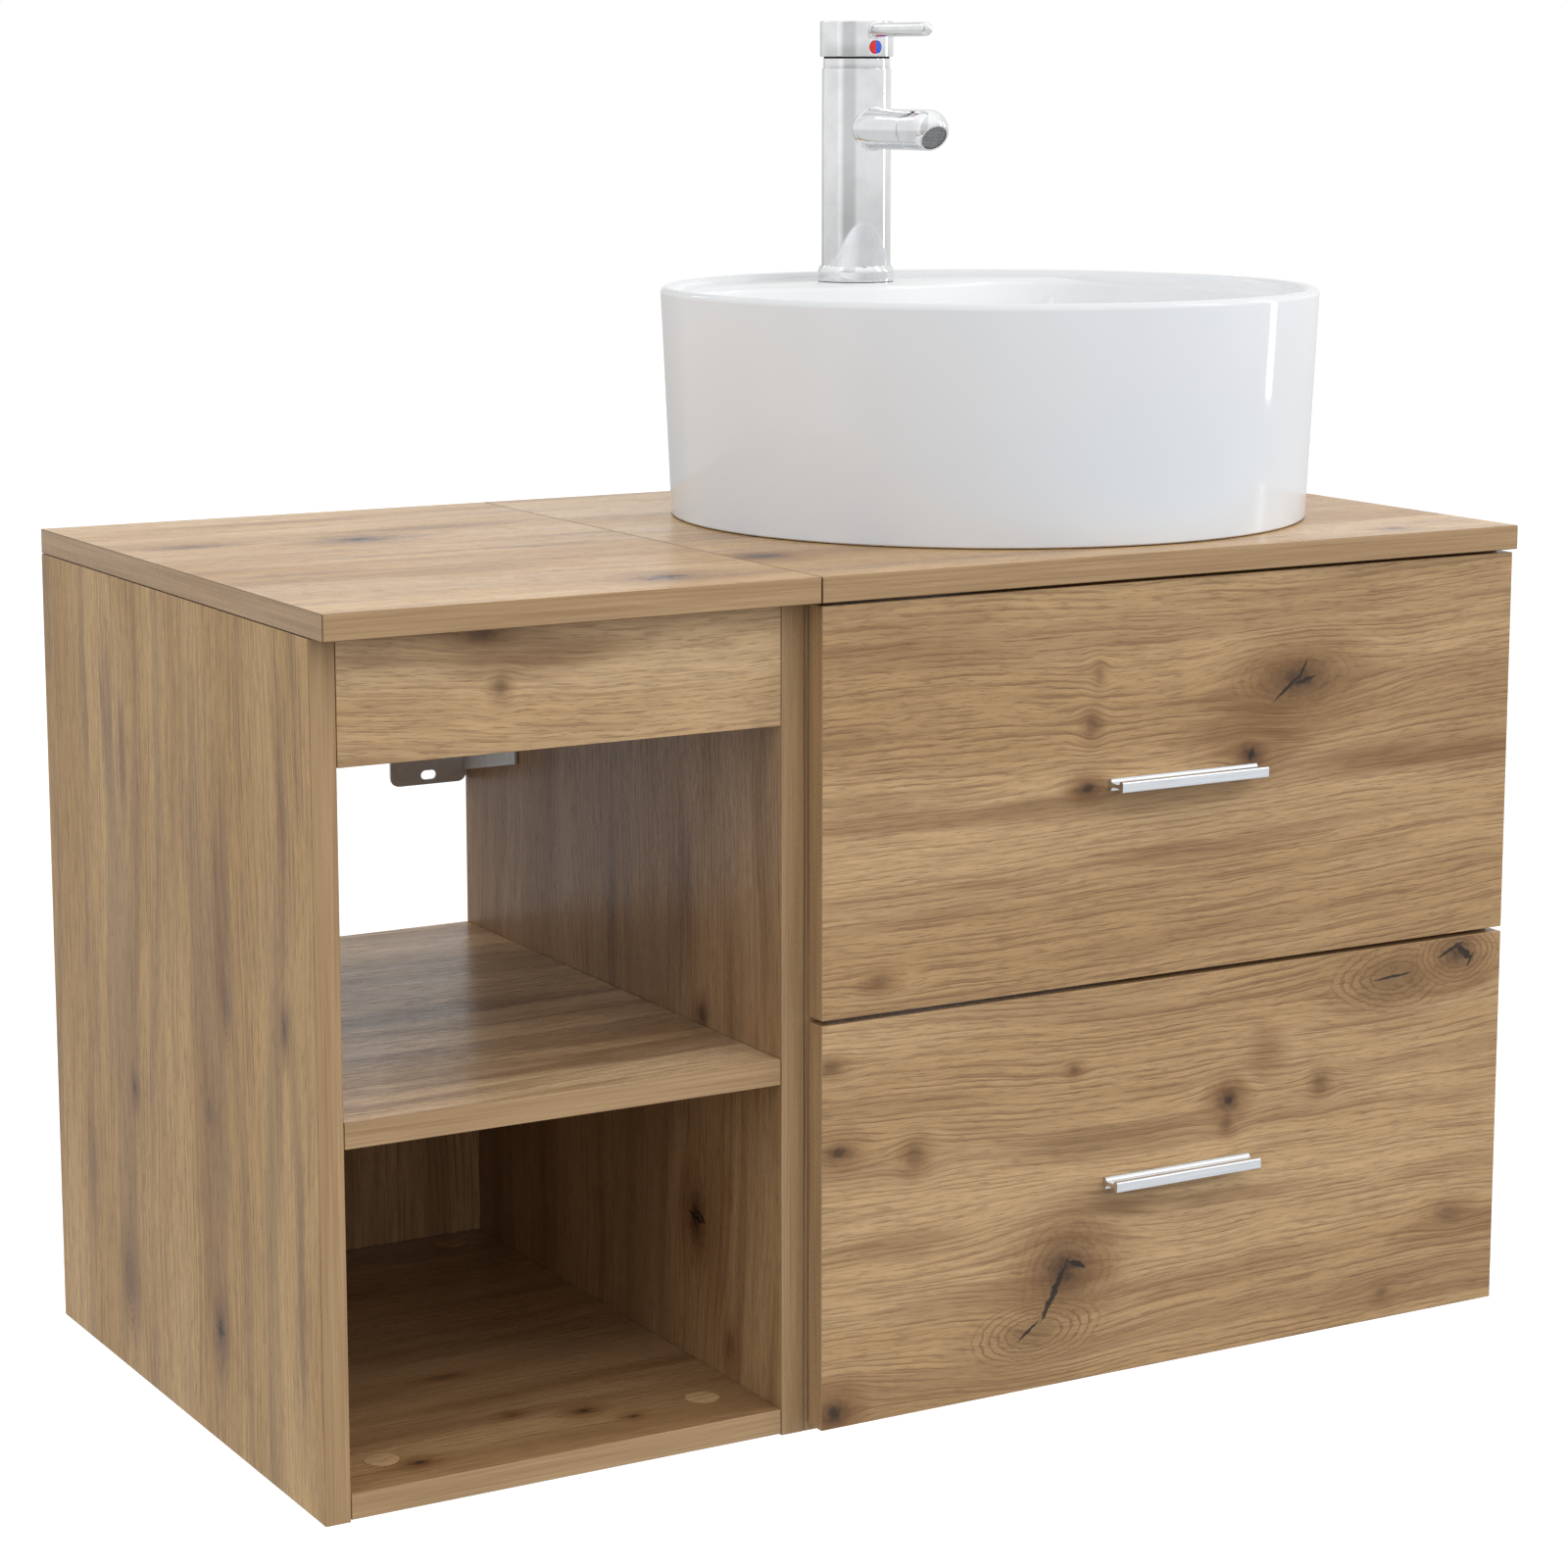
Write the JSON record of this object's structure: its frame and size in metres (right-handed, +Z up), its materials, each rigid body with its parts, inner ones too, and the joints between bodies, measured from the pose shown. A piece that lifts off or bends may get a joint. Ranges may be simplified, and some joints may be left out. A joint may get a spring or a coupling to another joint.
{
  "type": "vanity with vessel basin",
  "caption": "Wall-hung bathroom vanity with an open shelf bay, drawers on telescopic runners, a round vessel basin with click waste and a single-lever tap.",
  "frame": {"origin": "middle of the drawer unit's width, on the wall plane, at the middle of the hanging rail's rear face, 50 mm under the worktop's upper face", "axes": "+X right along the wall, +Y back into the wall, +Z up; the fronts face -Y"},
  "size_m": [0.8, 0.4487, 0.8123],
  "materials": {
    "oak_laminate": "light artisan-oak laminate with brown knots, satin",
    "glazed_ceramic": "white, high gloss glaze",
    "chrome": "polished chrome",
    "satin_aluminium": "satin anodised",
    "zinc_plated_steel": "zinc plated, dull",
    "stainless_steel": "dull",
    "brass": "raw brass",
    "rubber": "matte black",
    "cartridge_plastic": "matte",
    "indicator_plastic": "red and blue halves, gloss"
  },
  "bodies": {
    "cabinet": {"basin": "glazed_ceramic", "lower_runner_left_fixed": "zinc_plated_steel", "lower_runner_right_fixed": "zinc_plated_steel", "open_back_panel": "oak_laminate", "open_back_rail": "oak_laminate", "open_bottom": "oak_laminate", "open_bracket_left": "zinc_plated_steel", "open_bracket_right": "zinc_plated_steel", "open_fascia": "oak_laminate", "open_shelf": "oak_laminate", "open_side_left": "oak_laminate", "open_side_right": "oak_laminate", "open_top": "oak_laminate", "sink_back_rail": "oak_laminate", "sink_bottom": "oak_laminate", "sink_bracket_left": "zinc_plated_steel", "sink_bracket_right": "zinc_plated_steel", "sink_side_left": "oak_laminate", "sink_side_right": "oak_laminate", "sink_top": "oak_laminate", "tap_aerator": "stainless_steel", "tap_base_ring": "chrome", "tap_body": "chrome", "tap_cartridge": "cartridge_plastic", "tap_collar": "chrome", "tap_fixing_nut": "brass", "tap_spout": "chrome", "tap_stud": "stainless_steel", "upper_runner_left_fixed": "zinc_plated_steel", "upper_runner_right_fixed": "zinc_plated_steel", "waste_body": "chrome", "waste_nut": "brass", "waste_seal": "rubber"},
    "upper_drawer": {"upper_drawer_back_left": "oak_laminate", "upper_drawer_back_right": "oak_laminate", "upper_drawer_bottom": "oak_laminate", "upper_drawer_front": "oak_laminate", "upper_drawer_side_left": "oak_laminate", "upper_drawer_side_right": "oak_laminate", "upper_drawer_trap_well": "oak_laminate", "upper_handle": "satin_aluminium", "upper_runner_left_inner": "zinc_plated_steel", "upper_runner_right_inner": "zinc_plated_steel"},
    "lower_drawer": {"lower_drawer_back": "oak_laminate", "lower_drawer_bottom": "oak_laminate", "lower_drawer_front": "oak_laminate", "lower_drawer_side_left": "oak_laminate", "lower_drawer_side_right": "oak_laminate", "lower_handle": "satin_aluminium", "lower_runner_left_inner": "zinc_plated_steel", "lower_runner_right_inner": "zinc_plated_steel"},
    "plug": {"waste_plug": "chrome"},
    "lever_carrier": {"tap_spindle": "brass"},
    "lever_cap": {"tap_cap": "chrome", "tap_lever": "chrome", "tap_indicator": "indicator_plastic"},
    "upper_runner_left": {"upper_runner_left_middle": "zinc_plated_steel"},
    "upper_runner_right": {"upper_runner_right_middle": "zinc_plated_steel"},
    "lower_runner_left": {"lower_runner_left_middle": "zinc_plated_steel"},
    "lower_runner_right": {"lower_runner_right_middle": "zinc_plated_steel"}
  },
  "joints": [
    {"name": "upper_drawer_slide", "type": "slide", "parent": "cabinet", "child": "upper_drawer", "axis": [0, -1, 0], "range_m": [0, 0.3]},
    {"name": "upper_runner_left_slide", "type": "slide", "parent": "cabinet", "child": "upper_runner_left", "axis": [0, -1, 0], "range_m": [0, 0.15]},
    {"name": "upper_runner_right_slide", "type": "slide", "parent": "cabinet", "child": "upper_runner_right", "axis": [0, -1, 0], "range_m": [0, 0.15]},
    {"name": "lower_drawer_slide", "type": "slide", "parent": "cabinet", "child": "lower_drawer", "axis": [0, -1, 0], "range_m": [0, 0.3]},
    {"name": "lower_runner_left_slide", "type": "slide", "parent": "cabinet", "child": "lower_runner_left", "axis": [0, -1, 0], "range_m": [0, 0.15]},
    {"name": "lower_runner_right_slide", "type": "slide", "parent": "cabinet", "child": "lower_runner_right", "axis": [0, -1, 0], "range_m": [0, 0.15]},
    {"name": "plug_press", "type": "slide", "parent": "cabinet", "child": "plug", "axis": [0, 0, 1], "range_m": [0, 0.008]},
    {"name": "tap_turn", "type": "hinge", "parent": "cabinet", "child": "lever_carrier", "pos_m": [0.0057, -0.0464, 0.32], "axis": [0, 0, 1], "range_deg": [-45, 45]},
    {"name": "tap_lift", "type": "hinge", "parent": "lever_carrier", "child": "lever_cap", "pos_m": [0.0057, -0.0464, 0.32], "axis": [-1, 0, 0], "range_deg": [0, 18]}
  ],
  "couplings": [
    {"joint": "upper_runner_left_slide", "follows": "upper_drawer_slide", "ratio": 0.5},
    {"joint": "upper_runner_right_slide", "follows": "upper_drawer_slide", "ratio": 0.5},
    {"joint": "lower_runner_left_slide", "follows": "lower_drawer_slide", "ratio": 0.5},
    {"joint": "lower_runner_right_slide", "follows": "lower_drawer_slide", "ratio": 0.5}
  ]
}
